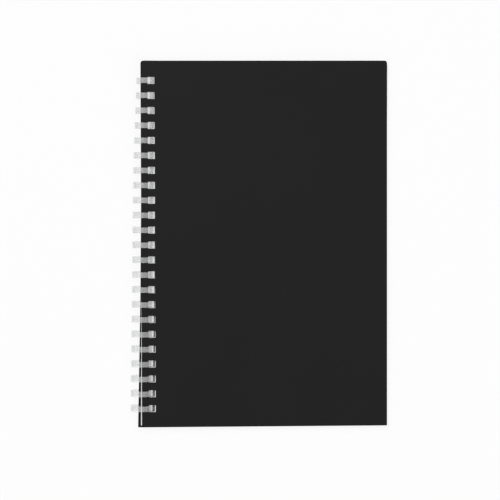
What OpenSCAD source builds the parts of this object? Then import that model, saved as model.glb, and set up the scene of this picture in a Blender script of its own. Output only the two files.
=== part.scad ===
// Notebook bound with a clear plastic comb: two stiff covers and a block of sheets,
// threaded by their square holes on a row of flat round loops.
// X runs from the spine to the fore edge, Y from the tail to the head, and Z up out of the front cover.
// The notebook lies face up. Its origin is on the table, under the middle of its outline.

/* [Covers] */
// Height of the covers, along the spine
cover_h = 208.2; // [120:0.1:300]
// Width of the covers, from the spine edge to the fore edge
cover_w = 140; // [80:0.1:220]
// Thickness of each cover
cover_t = 0.7; // [0.4:0.05:1.2]
// Radius of the covers' two corners at the head
head_corner_r = 1.5; // [0.3:0.1:10]
// Radius of the covers' two corners at the tail
tail_corner_r = 0.5; // [0.3:0.1:10]

/* [Sheets] */
// Thickness of the block of sheets
block_t = 5; // [3:0.1:10]
// How far the covers stand out past the sheets at the head, the tail and the fore edge
sheet_inset = 1; // [0:0.1:4]
// Rounding of the block's two long edges at the spine
spine_round = 0.6; // [0.2:0.1:1]
// Length over which the sheets bend down from the loops to the back cover
bend_l = 8; // [3:0.5:20]

/* [Holes] */
// Distance between the middles of neighbouring holes
pitch = 8.47; // [7:0.01:14]
// Smallest distance from the covers' ends to the middle of the first and last hole
end_margin = 10; // [6:0.5:20]
// Length of a hole, away from the spine
hole_l = 4; // [3.8:0.1:5]
// Width of a hole, along the spine
hole_w = 4; // [3.9:0.1:5]
// Distance from the spine edge to the hole
hole_margin = 3.9; // [3:0.05:5]

/* [Comb] */
// Thickness of the plastic of a loop
loop_t = 0.6; // [0.4:0.05:0.8]
// Clear height between the back cover and the lowest part of a loop's inside
loop_room = 1.275; // [1:0.025:3]
// Width of a loop where it crosses the front cover
loop_w = 3.1; // [2:0.1:3.5]
// Width of a loop behind the spine
loop_root_w = 3.65; // [3.5:0.05:3.8]
// Distance over which a loop narrows, ending above the comb's axis
taper_l = 3.8; // [2:0.1:4.5]
// Width of the flat strip that joins the loops, under the last sheet
strip_w = 4.8; // [3:0.1:5]
// Thickness of that strip
strip_t = 0.5; // [0.3:0.05:0.5]

/* [Lie of the layers on the loops] */
// Space between a cover and what it lies on
cover_gap = 0.1; // [0.05:0.01:0.3]
// How much closer to the axis the front cover lies than the back cover, so that its
// spine edge can swing past the back cover
swing_room = 0.75; // [0.7:0.05:2]
// Sideways play that the front cover takes up at the end loops
front_lean = 1; // [0:0.1:1]
// Sideways play that the sheets take up at the end loops
sheet_lean = 0.2; // [0:0.1:0.6]
// Distance that the back cover is slid away from the spine
back_slip = 0.6; // [0:0.1:0.8]
// Distance from the middle of the comb up to the middle of the front cover
front_rise = 0.25; // [-1:0.05:1]
// Distance from the middle of the comb up to the middle of the sheets
sheet_rise = 0.35; // [-1:0.05:1]
// Distance from the middle of the comb up to the middle of the back cover
back_rise = 0.65; // [-1:0.05:1]

/* [Hidden] */
$fn = 96;
// Reach of a cutting shape past what it cuts
over = 1;

// Distances from the comb's axis, outwards. Each cover can swing round the axis
// and pass between the sheets and the other cover.
sheet_half = (block_t - cover_t - swing_room) / 2;
front_in = sheet_half + cover_gap;
front_out = front_in + cover_t;
back_in = front_out + swing_room;
back_out = back_in + cover_t;
loop_in_r = back_out + loop_room;
loop_out_r = loop_in_r + loop_t;
loop_mid_r = (loop_in_r + loop_out_r) / 2;

// The row of loops and holes
loops = 1 + floor((cover_h - 2 * end_margin) / pitch);
comb_half = (loops - 1) * pitch / 2;

// Distance from the axis to where a loop passes through a layer at height z
function crossing(z) = sqrt(pow(loop_mid_r, 2) - pow(z, 2));

// Distance from the axis to the spine edge of a layer whose holes have the loops in their middle
function spine_edge(z) = crossing(z) - hole_l / 2 - hole_margin;
front_edge = spine_edge((front_in + front_out) / 2);
sheet_edge = spine_edge(sheet_half);
back_edge = spine_edge((back_in + back_out) / 2) + back_slip;

// Angle that brings a layer's end holes a distance lean off the loops' middle
function turn(lean) = atan2(lean, comb_half);
front_turn = turn(front_lean);
sheet_turn = turn(sheet_lean);

// Where the rounding of the block's spine edges has its middle
round_x = sheet_edge + spine_round;
round_z = sheet_half - spine_round;

// The strip that joins the loops, and the fore edge of the sheets
strip_mid = crossing(sheet_half + strip_t / 2);
strip_end = strip_mid + strip_w / 2;
sheet_fore = front_edge + cover_w - sheet_inset;

// Middle of the notebook's outline, from the axis and the middle of the comb
function turned_x(x, y, a) = x * cos(a) - y * sin(a);
function turned_y(x, y, a) = x * sin(a) + y * cos(a);
far_x = turned_x(front_edge + cover_w, front_rise - cover_h / 2, front_turn);
head_y = turned_y(front_edge + cover_w, front_rise + cover_h / 2, front_turn);
tail_y = turned_y(front_edge, front_rise - cover_h / 2, front_turn);
mid_x = (far_x - loop_out_r) / 2;
mid_y = (head_y + tail_y) / 2;

// Moves a piece modelled round the comb's axis to its place on the table
module on_table() {
    translate([-mid_x, -mid_y, loop_out_r])
        children();
}

// One copy of its child for each loop, along Y
module each_loop() {
    for (i = [0 : loops - 1])
        translate([0, i * pitch - comb_half, 0])
            children();
}

// Rectangle from [0, 0] up, with its two low corners and its two high corners rounded
module rounded_sheet(w, h, low_r, high_r) {
    translate([0, low_r])
        square([w, h - low_r - high_r]);
    translate([low_r, 0])
        square([w - 2 * low_r, h - high_r]);
    translate([high_r, low_r])
        square([w - 2 * high_r, h - low_r]);
    for (x = [low_r, w - low_r])
        translate([x, low_r])
            circle(low_r);
    for (x = [high_r, w - high_r])
        translate([x, h - high_r])
            circle(high_r);
}

// Square holes for the loops, in a layer whose spine edge is at x = edge
module holes_2d(edge) {
    each_loop()
        translate([edge + hole_margin, -hole_w / 2])
            square([hole_l, hole_w]);
}

// A stiff cover with its holes, its lower face at z = 0
module cover(edge, rise) {
    linear_extrude(cover_t)
        difference() {
            translate([edge, rise - cover_h / 2])
                rounded_sheet(cover_w, cover_h, tail_corner_r, head_corner_r);
            holes_2d(edge);
        }
}

module front_cover() {
    color([0.14, 0.14, 0.14])
        on_table()
            rotate([0, 0, front_turn])
                translate([0, 0, front_in])
                    cover(front_edge, front_rise);
}

module back_cover() {
    color([0.14, 0.14, 0.14])
        on_table()
            translate([0, 0, -back_out])
                cover(back_edge, back_rise);
}

// Section of the block of sheets across the spine: level with the loops' middle at the holes,
// then bent down to the back cover. It is notched where the two rounded edges go.
module block_section() {
    bend_x = strip_end + sheet_lean + cover_gap;
    low = back_in - cover_gap;
    polygon([
        [round_x, sheet_half],
        [sheet_fore, sheet_half],
        [sheet_fore, -low],
        [bend_x + bend_l, -low],
        [bend_x, -sheet_half],
        [round_x, -sheet_half],
        [round_x, -round_z],
        [sheet_edge, -round_z],
        [sheet_edge, round_z],
        [round_x, round_z]
    ]);
}

module page_block() {
    block_h = cover_h - 2 * sheet_inset;
    color([0.94, 0.94, 0.93])
        on_table()
            rotate([0, 0, sheet_turn])
                difference() {
                    translate([0, sheet_rise + block_h / 2, 0])
                        rotate([90, 0, 0]) {
                            linear_extrude(block_h)
                                block_section();
                            for (z = [-round_z, round_z])
                                translate([round_x, z, 0])
                                    cylinder(r = spine_round, h = block_h);
                        }
                    translate([0, 0, -back_in - over])
                        linear_extrude(back_in + sheet_half + 2 * over)
                            holes_2d(sheet_edge);
                }
}

// Plan of what is cut off one side of a loop, to narrow it over the front cover
module taper_plan() {
    far = loop_out_r + over;
    polygon([
        [-taper_l, loop_root_w / 2],
        [0, loop_w / 2],
        [far, loop_w / 2],
        [far, loop_root_w],
        [-taper_l, loop_root_w]
    ]);
}

// One flat loop round the axis, widest where it passes behind the spine
module loop() {
    difference() {
        rotate([90, 0, 0])
            linear_extrude(loop_root_w, center = true)
                difference() {
                    circle(loop_out_r);
                    circle(loop_in_r);
                }
        for (side = [0, 1])
            mirror([0, side, 0])
                translate([0, 0, -sheet_half])
                    linear_extrude(sheet_half + loop_out_r + over)
                        taper_plan();
    }
}

module ring_comb() {
    strip_h = 2 * comb_half + loop_w;
    color([0.9, 0.92, 0.94, 0.6])
        on_table() {
            each_loop()
                loop();
            translate([strip_end - strip_w, -strip_h / 2, -sheet_half - strip_t])
                cube([strip_w, strip_h, strip_t]);
        }
}

front_cover();
page_block();
back_cover();
ring_comb();
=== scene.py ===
import math
import random

import bmesh
import bpy
from mathutils import Matrix, Vector


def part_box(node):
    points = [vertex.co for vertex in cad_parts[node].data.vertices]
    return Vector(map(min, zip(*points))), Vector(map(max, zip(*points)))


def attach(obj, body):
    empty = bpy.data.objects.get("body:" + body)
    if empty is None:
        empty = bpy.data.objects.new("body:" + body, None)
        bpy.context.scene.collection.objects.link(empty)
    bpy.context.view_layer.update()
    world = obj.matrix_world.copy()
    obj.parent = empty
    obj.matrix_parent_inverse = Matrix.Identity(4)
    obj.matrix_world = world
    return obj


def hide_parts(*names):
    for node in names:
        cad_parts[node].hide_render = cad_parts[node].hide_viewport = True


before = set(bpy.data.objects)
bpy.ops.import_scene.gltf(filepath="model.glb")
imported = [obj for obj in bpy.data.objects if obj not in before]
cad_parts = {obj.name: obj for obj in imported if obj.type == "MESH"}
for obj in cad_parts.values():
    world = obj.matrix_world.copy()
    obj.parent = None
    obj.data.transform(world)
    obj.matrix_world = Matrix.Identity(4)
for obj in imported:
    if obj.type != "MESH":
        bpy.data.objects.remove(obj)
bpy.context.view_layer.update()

# The notebook's sizes in millimetres, as in the part's source
MM = 0.001
COVER_W, COVER_H, COVER_T = 140.0, 208.2, 0.7
HEAD_CORNER_R, TAIL_CORNER_R = 1.5, 0.5
BLOCK_T = 5.0
SHEET_INSET = 1.0
SPINE_ROUND = 0.6
BEND_L = 8.0
PITCH = 8.47
LOOPS = 23
HOLE_L, HOLE_W, HOLE_MARGIN = 4.0, 4.0, 3.9
LOOP_T = 0.6
LOOP_W, LOOP_ROOT_W, TAPER_L = 3.1, 3.65, 3.8
STRIP_W, STRIP_T = 4.8, 0.5
COVER_GAP, SWING_ROOM, LOOP_ROOM = 0.1, 0.75, 1.275
FRONT_LEAN, SHEET_LEAN, BACK_SLIP = 1.0, 0.2, 0.6
FRONT_RISE, SHEET_RISE, BACK_RISE = 0.25, 0.35, 0.65

# Distances from the comb's axis, outwards
SHEET_HALF = (BLOCK_T - COVER_T - SWING_ROOM) / 2
FRONT_IN = SHEET_HALF + COVER_GAP
FRONT_OUT = FRONT_IN + COVER_T
BACK_IN = FRONT_OUT + SWING_ROOM
BACK_OUT = BACK_IN + COVER_T
LOOP_IN_R = BACK_OUT + LOOP_ROOM
LOOP_OUT_R = LOOP_IN_R + LOOP_T
LOOP_MID_R = (LOOP_IN_R + LOOP_OUT_R) / 2
COMB_HALF = (LOOPS - 1) * PITCH / 2


def crossing(z):
    """Distance from the axis to where a loop passes through a layer at height z."""
    return math.sqrt(LOOP_MID_R ** 2 - z ** 2)


def spine_edge(z):
    """Spine edge of a layer whose holes have the loops in their middle."""
    return crossing(z) - HOLE_L / 2 - HOLE_MARGIN


FRONT_EDGE = spine_edge((FRONT_IN + FRONT_OUT) / 2)
SHEET_EDGE = spine_edge(SHEET_HALF)
BACK_EDGE = spine_edge((BACK_IN + BACK_OUT) / 2) + BACK_SLIP
FRONT_TURN = math.atan2(FRONT_LEAN, COMB_HALF)
SHEET_TURN = math.atan2(SHEET_LEAN, COMB_HALF)
STRIP_END = crossing(SHEET_HALF + STRIP_T / 2) + STRIP_W / 2
SHEET_FORE = FRONT_EDGE + COVER_W - SHEET_INSET

# The comb's axis, level with the comb's middle, in the frame of the part
comb_low, comb_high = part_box("ring_comb")
AXIS = Vector((
    comb_low.x + LOOP_OUT_R * MM,
    (comb_low.y + comb_high.y) / 2,
    comb_high.z - LOOP_OUT_R * MM,
))


def at(x, y, z, turn=0.0):
    """A point in millimetres from the comb's middle, turned about the upright line there."""
    flat_x = x * math.cos(turn) - y * math.sin(turn)
    flat_y = x * math.sin(turn) + y * math.cos(turn)
    return AXIS + Vector((flat_x, flat_y, z)) * MM


def ease(t):
    """A smooth rise from 0 at t = 0 to 1 at t = 1."""
    t = min(max(t, 0.0), 1.0)
    return t * t * (3 - 2 * t)


# Camera, at the photograph's viewing angle
camera_data = bpy.data.cameras.new("camera")
camera_data.sensor_width = 36
camera_data.lens = 151.14
camera_data.clip_end = 20
camera = bpy.data.objects.new("camera", camera_data)
camera.location = (-0.0606, 0.0419, 1.2)
camera.rotation_euler = (math.radians(-2.196), math.radians(-2.596), math.radians(0.467))
bpy.context.scene.collection.objects.link(camera)
bpy.context.scene.camera = camera
bpy.context.scene.view_settings.view_transform = "Standard"


# Node tools
def feed(tree, socket, value):
    """Links an input to another node's output, or sets its value."""
    if isinstance(value, bpy.types.NodeSocket):
        tree.links.new(value, socket)
    else:
        socket.default_value = value


def add_node(tree, kind, **sockets):
    """A node with values or links for its inputs, by their names with _ for a space."""
    node = tree.nodes.new(kind)
    for label, value in sockets.items():
        feed(tree, node.inputs[label.replace("_", " ")], value)
    return node


def add_math(tree, operation, first, second, third=0.0):
    """The result of a Math node."""
    node = tree.nodes.new("ShaderNodeMath")
    node.operation = operation
    for socket, value in zip(node.inputs, (first, second, third)):
        feed(tree, socket, value)
    return node.outputs[0]


def between(tree, share, low, high):
    """A value that goes from low to high as share goes from 0 to 1."""
    return add_math(tree, "MULTIPLY_ADD", share, high - low, low)


def mix_colour(tree, share, first, second):
    """A colour from first to second. The Mix node's sockets for colours come after those for numbers."""
    node = tree.nodes.new("ShaderNodeMix")
    node.data_type = "RGBA"
    tree.links.new(share, node.inputs["Factor"])
    node.inputs[6].default_value = (*first, 1.0)
    node.inputs[7].default_value = (*second, 1.0)
    return node.outputs[2]


def set_bump(tree, shader, height, distance):
    """Gives a shader the bump of a height from 0 to 1, over a distance in millimetres."""
    bump = add_node(tree, "ShaderNodeBump", Height=height, Distance=distance * MM)
    tree.links.new(bump.outputs["Normal"], shader.inputs["Normal"])


def new_material(name):
    """A material with one Principled shader, and the place on the object for its textures."""
    material = bpy.data.materials.new(name)
    material.use_nodes = True
    tree = material.node_tree
    shader = tree.nodes["Principled BSDF"]
    place = tree.nodes.new("ShaderNodeTexCoord").outputs["Object"]
    return material, tree, shader, place


# Shared effects
def new_group(name, **inputs):
    """A node group that puts out one Value, with its input and output nodes. Place is a vector."""
    group = bpy.data.node_groups.new(name, "ShaderNodeTree")
    group.interface.new_socket("Place", in_out="INPUT", socket_type="NodeSocketVector")
    for label, value in inputs.items():
        socket = group.interface.new_socket(label, in_out="INPUT", socket_type="NodeSocketFloat")
        socket.default_value = value
    group.interface.new_socket("Value", in_out="OUTPUT", socket_type="NodeSocketFloat")
    start = group.nodes.new("NodeGroupInput")
    end = group.nodes.new("NodeGroupOutput")
    return group, start, end


def grain_group():
    """Fine grain, as a value from 0 to 1 about 0.5.

    Size is in millimetres, Stretch draws the grain out along Y, and Depth is its levels of detail.
    """
    group, start, end = new_group("fine grain", Size=0.3, Stretch=1.0, Depth=3.0)
    squeeze = add_math(group, "DIVIDE", 1.0, start.outputs["Stretch"])
    stretch = add_node(group, "ShaderNodeCombineXYZ", X=1.0, Y=squeeze, Z=1.0)
    place = group.nodes.new("ShaderNodeVectorMath")
    place.operation = "MULTIPLY"
    group.links.new(start.outputs["Place"], place.inputs[0])
    group.links.new(stretch.outputs[0], place.inputs[1])
    noise = add_node(
        group,
        "ShaderNodeTexNoise",
        Vector=place.outputs[0],
        Scale=add_math(group, "DIVIDE", 1 / MM, start.outputs["Size"]),
        Detail=start.outputs["Depth"],
        Roughness=0.6,
    )
    group.links.new(noise.outputs["Fac"], end.inputs["Value"])
    return group


def drift_group():
    """Slow unevenness of a surface, as a value from 0 to 1. Size is in millimetres."""
    group, start, end = new_group("slow drift", Size=30.0)
    noise = add_node(
        group,
        "ShaderNodeTexNoise",
        Vector=start.outputs["Place"],
        Scale=add_math(group, "DIVIDE", 1 / MM, start.outputs["Size"]),
        Detail=2.0,
    )
    spread = add_node(group, "ShaderNodeMapRange", Value=noise.outputs["Fac"], From_Min=0.3, From_Max=0.7)
    group.links.new(spread.outputs[0], end.inputs["Value"])
    return group


FINE_GRAIN = grain_group()
SLOW_DRIFT = drift_group()


def add_group(tree, group, **sockets):
    """The value that a shared effect puts out."""
    node = tree.nodes.new("ShaderNodeGroup")
    node.node_tree = group
    for label, value in sockets.items():
        feed(tree, node.inputs[label], value)
    return node.outputs["Value"]


# Finishes
def black_board():
    """Matte black cover plastic with a fine moulded grain."""
    material, tree, shader, place = new_material("black cover board")
    grain = add_group(tree, FINE_GRAIN, Place=place, Size=0.45, Depth=3.0)
    drift = add_group(tree, SLOW_DRIFT, Place=place, Size=45.0)
    colour = mix_colour(tree, drift, (0.0062, 0.0062, 0.0063), (0.0072, 0.0072, 0.0072))
    tree.links.new(colour, shader.inputs["Base Color"])
    tree.links.new(between(tree, grain, 0.5, 0.64), shader.inputs["Roughness"])
    shader.inputs["Specular IOR Level"].default_value = 0.09
    set_bump(tree, shader, grain, 0.03)
    return material


def plain_paper():
    """Uncoated white paper with short fibres."""
    material, tree, shader, place = new_material("uncoated paper")
    fibre = add_group(tree, FINE_GRAIN, Place=place, Size=0.5, Stretch=3.0, Depth=4.0)
    cloud = add_group(tree, SLOW_DRIFT, Place=place, Size=6.0)
    share = add_math(tree, "MULTIPLY_ADD", cloud, 0.6, add_math(tree, "MULTIPLY", fibre, 0.4))
    colour = mix_colour(tree, share, (0.845, 0.845, 0.838), (0.87, 0.87, 0.865))
    tree.links.new(colour, shader.inputs["Base Color"])
    shader.inputs["Roughness"].default_value = 0.85
    shader.inputs["Specular IOR Level"].default_value = 0.2
    set_bump(tree, shader, fibre, 0.02)
    return material


def frosted_plastic():
    """Clear plastic with a frosted skin that is denser where it is seen edge on.

    It hides more than it shades, because it scatters light onwards.
    """
    material, tree, shader, place = new_material("frosted clear plastic")
    frost = add_group(tree, FINE_GRAIN, Place=place, Size=0.9, Depth=2.0)
    cloud = add_group(tree, SLOW_DRIFT, Place=place, Size=3.5)
    facing = add_node(tree, "ShaderNodeLayerWeight", Blend=0.35).outputs["Facing"]
    haze = add_math(tree, "MULTIPLY_ADD", cloud, 0.03, between(tree, facing, 0.2, 0.32))
    path = tree.nodes.new("ShaderNodeLightPath")
    lighting = add_math(tree, "MAXIMUM", path.outputs["Is Shadow Ray"], path.outputs["Is Diffuse Ray"])
    density = add_math(tree, "MULTIPLY", haze, between(tree, lighting, 1.0, 0.4))
    tree.links.new(density, shader.inputs["Alpha"])
    colour = mix_colour(tree, frost, (0.82, 0.825, 0.84), (0.86, 0.865, 0.88))
    tree.links.new(colour, shader.inputs["Base Color"])
    tree.links.new(between(tree, frost, 0.18, 0.38), shader.inputs["Roughness"])
    shader.inputs["Coat Weight"].default_value = 0.4
    shader.inputs["Coat Roughness"].default_value = 0.25
    set_bump(tree, shader, frost, 0.03)
    return material


# Meshes
def finish_piece(name, mesh_data, material, body, node):
    """Puts a bmesh into the scene as a piece that stands for one node of the model."""
    mesh = bpy.data.meshes.new(name)
    bmesh.ops.recalc_face_normals(mesh_data, faces=mesh_data.faces)
    mesh_data.to_mesh(mesh)
    mesh_data.free()
    mesh.materials.append(material)
    piece = bpy.data.objects.new(name, mesh)
    bpy.context.scene.collection.objects.link(piece)
    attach(piece, body)
    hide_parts(node)
    return piece


def smooth(piece):
    """Shades all faces of a piece as parts of smooth surfaces."""
    for face in piece.data.polygons:
        face.use_smooth = True


def punched_rows(middle, half):
    """The lines across a layer: its tail, both sides of each hole, and its head."""
    rows = [middle - half]
    for i in range(LOOPS):
        y = i * PITCH - COMB_HALF
        rows += [y - HOLE_W / 2, y + HOLE_W / 2]
    return rows + [middle + half]


def add_layer(mesh_data, columns, rows, low, high, turn, give):
    """A closed layer over a grid of columns and rows, with a hole in every other row of column 1.

    Low and high give its two faces' heights over a point's x. Give moves a point of the layer in
    its plane, by what the material gives or by the layer's own play.
    """
    corner = {}
    for i, x in enumerate(columns):
        for j, y in enumerate(rows):
            for side, height in enumerate((low, high)):
                corner[side, i, j] = mesh_data.verts.new(at(*give(x, y), height(x), turn))

    def solid(i, j):
        inside = 0 <= i < len(columns) - 1 and 0 <= j < len(rows) - 1
        return inside and not (i == 1 and j % 2 == 1)

    for i in range(len(columns) - 1):
        for j in range(len(rows) - 1):
            if not solid(i, j):
                continue
            ring = [(i, j), (i + 1, j), (i + 1, j + 1), (i, j + 1)]
            mesh_data.faces.new([corner[1, p, q] for p, q in ring])
            mesh_data.faces.new([corner[0, p, q] for p, q in reversed(ring)])
            beside = [(i, j - 1), (i + 1, j), (i, j + 1), (i - 1, j)]
            for k, cell in enumerate(beside):
                if solid(*cell):
                    continue
                p, q = ring[k], ring[(k + 1) % 4]
                mesh_data.faces.new([corner[0, *p], corner[0, *q], corner[1, *q], corner[1, *p]])


# Rounding of the holes' corners and of all the edges of a cover
HOLE_CORNER_R, BROKEN_EDGE = 0.3, 0.13
# Flat faces in each rounded corner of a cover, corner of a hole, and edge
CORNER_STEPS, HOLE_STEPS, EDGE_STEPS = 6, 3, 3
# How near to its place a point counts as being at a cover's corner or in its row of holes
CORNER_REACH, HOLE_REACH = 0.2, 1.0
# Pull on the back cover's spine edge for each millimetre towards the tail, and where it starts
BACK_PULL, BACK_PULL_FROM = 0.0115, 28
# How far the back cover's tail drops at the spine and lifts at the fore edge
SPINE_DROP, FORE_LIFT = 1.1, 0.35


def back_give(x, y):
    """The back cover gives a little near the tail, where its spine edge shows beside the sheets."""
    near_spine = 1 - (x - BACK_EDGE) / COVER_W
    pulled = BACK_PULL * near_spine * max(0.0, -y - BACK_PULL_FROM)
    at_tail = math.isclose(y, BACK_RISE - COVER_H / 2)
    dropped = SPINE_DROP * near_spine - FORE_LIFT * (1 - near_spine) if at_tail else 0.0
    return x - pulled, y - dropped


def is_corner(spot, corners):
    """Whether a point lies at one of the corners, seen from above."""
    return any((spot - corner).to_2d().length < CORNER_REACH * MM for corner in corners)


def is_hole(spot, columns, turn):
    """Whether a point of a cover lies at one of its holes."""
    flat = (spot - AXIS) / MM
    x = flat.x * math.cos(turn) + flat.y * math.sin(turn)
    return columns[1] - HOLE_REACH < x < columns[2] + HOLE_REACH


def round_upright(mesh_data, radius, steps, chosen):
    """Rounds the upright edges of a cover that chosen picks by their place."""
    least_height = 0.4 * COVER_T * MM
    least_angle = math.radians(60)
    edges = []
    mesh_data.normal_update()
    for edge in mesh_data.edges:
        first, second = edge.verts
        upright = abs(first.co.z - second.co.z) > least_height
        if upright and len(edge.link_faces) == 2 and chosen(first.co):
            if edge.calc_face_angle(0.0) > least_angle:
                edges.append(edge)
    bmesh.ops.bevel(
        mesh_data, geom=edges, offset=radius * MM, segments=steps, profile=0.5, affect="EDGES"
    )


def make_cover(name, node, edge, rise, low_z, turn, body, material, give=lambda x, y: (x, y)):
    """A stiff cover with softly broken edges and slightly rounded punched holes."""
    mesh_data = bmesh.new()
    left = edge + HOLE_MARGIN
    columns = [edge, left, left + HOLE_L, edge + COVER_W]
    rows = punched_rows(rise, COVER_H / 2)
    add_layer(mesh_data, columns, rows, lambda x: low_z, lambda x: low_z + COVER_T, turn, give)
    for y, radius in ((rows[0], TAIL_CORNER_R), (rows[-1], HEAD_CORNER_R)):
        corners = [at(*give(x, y), 0, turn) for x in (columns[0], columns[-1])]
        round_upright(mesh_data, radius, CORNER_STEPS, lambda spot: is_corner(spot, corners))
    round_upright(mesh_data, HOLE_CORNER_R, HOLE_STEPS, lambda spot: is_hole(spot, columns, turn))
    piece = finish_piece(name, mesh_data, material, body, node)
    bevel = piece.modifiers.new("broken edges", "BEVEL")
    bevel.width = BROKEN_EDGE * MM
    bevel.segments = EDGE_STEPS
    bevel.limit_method = "ANGLE"
    bevel.angle_limit = math.radians(50)
    bevel.harden_normals = True
    smooth(piece)


# Number of sheets, and how much of its share of the block each one fills
SHEETS, SHEET_FILL = 36, 0.94
SHEET_T = 2 * SHEET_HALF / SHEETS * SHEET_FILL
# Play of a sheet in its plane: the least, and what is added halfway through the block
LEAST_PLAY, MIDDLE_PLAY = 0.02, 0.12
# Distance of all the sheets from the solid's spine edge
SHEET_OFF = 0.12
# Flat parts of a sheet's bend
BEND_STEPS = 6


def make_sheets(material):
    """Loose sheets on the loops. The lower ones bend down past the strip that joins the loops."""
    chance = random.Random(7)
    mesh_data = bmesh.new()
    bend = STRIP_END + SHEET_LEAN + COVER_GAP
    rows = punched_rows(SHEET_RISE, COVER_H / 2 - SHEET_INSET)
    hole = SHEET_EDGE + HOLE_MARGIN
    columns = [SHEET_EDGE, hole, hole + HOLE_L]
    columns += [bend + BEND_L * k / BEND_STEPS for k in range(BEND_STEPS + 1)]
    columns += [SHEET_FORE]
    drop = BACK_IN - COVER_GAP - SHEET_HALF
    for k in range(SHEETS):
        depth = (k + 0.5) / SHEETS
        level = SHEET_HALF - 2 * SHEET_HALF * depth
        inner = max(0.0, abs(level) - (SHEET_HALF - SPINE_ROUND))
        pushed = SPINE_ROUND - math.sqrt(SPINE_ROUND ** 2 - inner ** 2)
        play = MIDDLE_PLAY * (1 - (level / SHEET_HALF) ** 2) + LEAST_PLAY
        side_play = pushed + SHEET_OFF + chance.uniform(-play, play) / 2
        end_play = chance.uniform(-play, play)

        def low(x):
            return level - SHEET_T / 2 - drop * depth * ease((x - bend) / BEND_L)

        def high(x):
            return low(x) + SHEET_T

        def give(x, y):
            return x + side_play, y + end_play

        add_layer(mesh_data, columns, rows, low, high, SHEET_TURN, give)
    finish_piece("loose_sheets", mesh_data, material, "block", "page_block")


# Rounding of a loop's edges, and the flat faces round a loop and in each rounded edge
LOOP_EDGE_R = 0.24
LOOP_STEPS, LOOP_EDGE_STEPS = 72, 3
# Play of a loop along the spine in millimetres, and its twist in degrees
LOOP_PLAY, LOOP_TWIST = 0.03, 0.3
# Give at the head: squeeze of the loops' outer half, lean to the fore edge, and how boxy it gets
HEAD_SQUEEZE, HEAD_LEAN, HEAD_BOXINESS = 1.2, 0.55, 1.3
# Give at the tail: the same squeeze and lean, and press of the covers' holes on the inner side
TAIL_SQUEEZE, TAIL_LEAN, TAIL_PRESS = 0.1, -0.5, -0.4
# Number of loops over which the give at the head fades, and how sharply it does
HEAD_FADE, HEAD_SHARPNESS = 3.9, 1.5
# Loop from which the give at the tail grows, and the number of loops over which it does
TAIL_START, TAIL_RISE = 10, 12
# Angles round a loop in degrees, from its inner side upwards, over which the lean grows and fades
LEAN_START, LEAN_FULL, LEAN_FADE, LEAN_END = -40, 20, 180, 290
# Angle at which the holes press on a loop, and how far to both sides
PRESS_MIDDLE, PRESS_REACH = 2, 24


def loop_width(x, z):
    """Width of a loop at a point of its round, as in the part's source."""
    if z < -SHEET_HALF:
        return LOOP_ROOT_W
    share = min(max((x + TAPER_L) / TAPER_L, 0.0), 1.0)
    return LOOP_ROOT_W + (LOOP_W - LOOP_ROOT_W) * share


def lean_share(angle):
    """Share of its lean that a loop has at an angle."""
    if angle < 90:
        return ease((angle - LEAN_START) / (LEAN_FULL - LEAN_START))
    return ease((LEAN_END - angle) / (LEAN_END - LEAN_FADE))


def press_share(angle):
    """Share of the holes' press that a loop has at an angle."""
    return max(0.0, 1 - ((angle - PRESS_MIDDLE) / PRESS_REACH) ** 2) ** 2


def loop_line(i):
    """The middle line of loop i from the head, as (x, z) pairs from its inner side upwards.

    The plastic gives: the first loops are flatter outside and lean away from the spine edge, and
    the last ones lean towards it and are pressed flat inside by the covers' holes.
    """
    at_head = math.exp(-((i / HEAD_FADE) ** HEAD_SHARPNESS))
    at_tail = ease((i - TAIL_START) / TAIL_RISE)
    reach = LOOP_MID_R - HEAD_SQUEEZE * at_head - TAIL_SQUEEZE * at_tail
    lean = HEAD_LEAN * at_head + TAIL_LEAN * at_tail
    press = TAIL_PRESS * at_tail
    boxy = 2 / (2 + HEAD_BOXINESS * at_head)
    line = []
    for k in range(LOOP_STEPS):
        angle = 360 * k / LOOP_STEPS
        if angle > 360 + LEAN_START:
            angle -= 360
        across = math.cos(math.radians(angle))
        up = math.sin(math.radians(angle))
        if across < 0:
            across = -(abs(across) ** boxy) * reach / LOOP_MID_R
            up = math.copysign(abs(up) ** boxy, up)
        x = across * LOOP_MID_R + lean * lean_share(angle) + press * press_share(angle)
        line.append((x, up * LOOP_MID_R))
    return line


def loop_section(width):
    """A loop's flat section with round edges, as pairs of the way along the spine and outwards."""
    points = []
    for along_sign, out_sign, start in ((1, 1, 0), (-1, 1, 90), (-1, -1, 180), (1, -1, 270)):
        for k in range(LOOP_EDGE_STEPS + 1):
            angle = math.radians(start + 90 * k / LOOP_EDGE_STEPS)
            along = along_sign * (width / 2 - LOOP_EDGE_R) + LOOP_EDGE_R * math.cos(angle)
            out = out_sign * (LOOP_T / 2 - LOOP_EDGE_R) + LOOP_EDGE_R * math.sin(angle)
            points.append((along, out))
    return points


def add_loop(mesh_data, line, y_mid, slope):
    """One closed loop round a middle line. Slope is its run along the spine for each step away from it."""
    rings = []
    for k, (x, z) in enumerate(line):
        before, after = line[k - 1], line[(k + 1) % LOOP_STEPS]
        course = Vector((after[0] - before[0], after[1] - before[1])).normalized()
        ring = []
        for along, out in loop_section(loop_width(x, z)):
            point_x = x + course.y * out
            point_z = z - course.x * out
            ring.append(mesh_data.verts.new(at(point_x, y_mid + along + point_x * slope, point_z)))
        rings.append(ring)
    for k in range(LOOP_STEPS):
        near, far = rings[k], rings[(k + 1) % LOOP_STEPS]
        for m in range(len(near)):
            n = (m + 1) % len(near)
            mesh_data.faces.new([near[m], near[n], far[n], far[m]])


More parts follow.
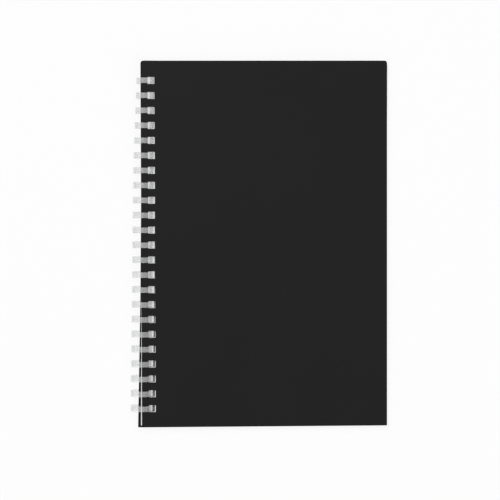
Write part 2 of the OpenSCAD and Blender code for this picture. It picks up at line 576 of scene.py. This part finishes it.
def make_comb(material):
    """One moulded comb: flat loops that stand on a thin strip."""
    chance = random.Random(23)
    mesh_data = bmesh.new()
    for i in range(LOOPS):
        y_mid = COMB_HALF - i * PITCH + chance.uniform(-LOOP_PLAY, LOOP_PLAY)
        slope = math.tan(math.radians(chance.uniform(-LOOP_TWIST, LOOP_TWIST)))
        add_loop(mesh_data, loop_line(i), y_mid, slope)
    strip = bmesh.ops.create_cube(mesh_data, size=1.0)["verts"]
    middle = at(STRIP_END - STRIP_W / 2, 0, -SHEET_HALF - STRIP_T / 2)
    size = Vector((STRIP_W, 2 * COMB_HALF + LOOP_W, STRIP_T)) * MM
    bmesh.ops.transform(
        mesh_data, verts=strip, matrix=Matrix.Translation(middle) @ Matrix.Diagonal((*size, 1.0))
    )
    smooth(finish_piece("clear_loops", mesh_data, material, "block", "ring_comb"))


board = black_board()
make_cover("front_board", "front_cover", FRONT_EDGE, FRONT_RISE, FRONT_IN, FRONT_TURN, "front", board)
make_cover("back_board", "back_cover", BACK_EDGE, BACK_RISE, -BACK_OUT, 0.0, "back", board, back_give)
make_sheets(plain_paper())
make_comb(frosted_plastic())


# Floor, backdrop and light
def white_view(tree):
    """1 for the rays that show the background as white, and 0 for those that light the object."""
    path = tree.nodes.new("ShaderNodeLightPath")
    seen = add_math(tree, "MAXIMUM", path.outputs["Is Camera Ray"], path.outputs["Is Glossy Ray"])
    return add_math(tree, "MAXIMUM", seen, path.outputs["Is Transmission Ray"])


def make_floor(half, glow_share):
    """A pale floor that is partly plain white to the camera and keeps the object's shadow."""
    mesh = bpy.data.meshes.new("floor")
    spots = [(-half, -half, 0), (half, -half, 0), (half, half, 0), (-half, half, 0)]
    mesh.from_pydata(spots, [], [(0, 1, 2, 3)])
    floor = bpy.data.objects.new("floor", mesh)
    bpy.context.scene.collection.objects.link(floor)
    material = bpy.data.materials.new("white floor")
    material.use_nodes = True
    tree = material.node_tree
    tree.nodes.remove(tree.nodes["Principled BSDF"])
    plain = add_node(tree, "ShaderNodeBsdfDiffuse", Color=(0.95, 0.95, 0.95, 1.0))
    glow = add_node(tree, "ShaderNodeEmission", Color=(1.0, 1.0, 1.0, 1.0), Strength=1.0)
    both = tree.nodes.new("ShaderNodeMixShader")
    tree.links.new(add_math(tree, "MULTIPLY", white_view(tree), glow_share), both.inputs[0])
    tree.links.new(plain.outputs[0], both.inputs[1])
    tree.links.new(glow.outputs[0], both.inputs[2])
    tree.links.new(both.outputs[0], tree.nodes["Material Output"].inputs["Surface"])
    mesh.materials.append(material)


def make_world(light_strength):
    """A room that lights the object evenly and shows as white."""
    world = bpy.data.worlds.new("white room")
    bpy.context.scene.world = world
    world.use_nodes = True
    tree = world.node_tree
    light = tree.nodes["Background"]
    light.inputs["Color"].default_value = (1.0, 1.0, 1.0, 1.0)
    tree.links.new(between(tree, white_view(tree), light_strength, 1.0), light.inputs["Strength"])


def make_lamp(name, place, size, power):
    """A large soft lamp that looks at the notebook."""
    data = bpy.data.lights.new(name, "AREA")
    data.shape = "DISK"
    data.size = size
    data.energy = power
    lamp = bpy.data.objects.new(name, data)
    lamp.location = place
    lamp.rotation_euler = (-Vector(place)).to_track_quat("-Z", "Y").to_euler()
    bpy.context.scene.collection.objects.link(lamp)


make_floor(half=3.0, glow_share=0.85)
make_world(light_strength=0.35)
make_lamp("key lamp", (-0.35, 0.45, 2.0), 1.2, 22.3)
make_lamp("fill lamp", (0.9, -0.7, 1.6), 1.4, 7.0)
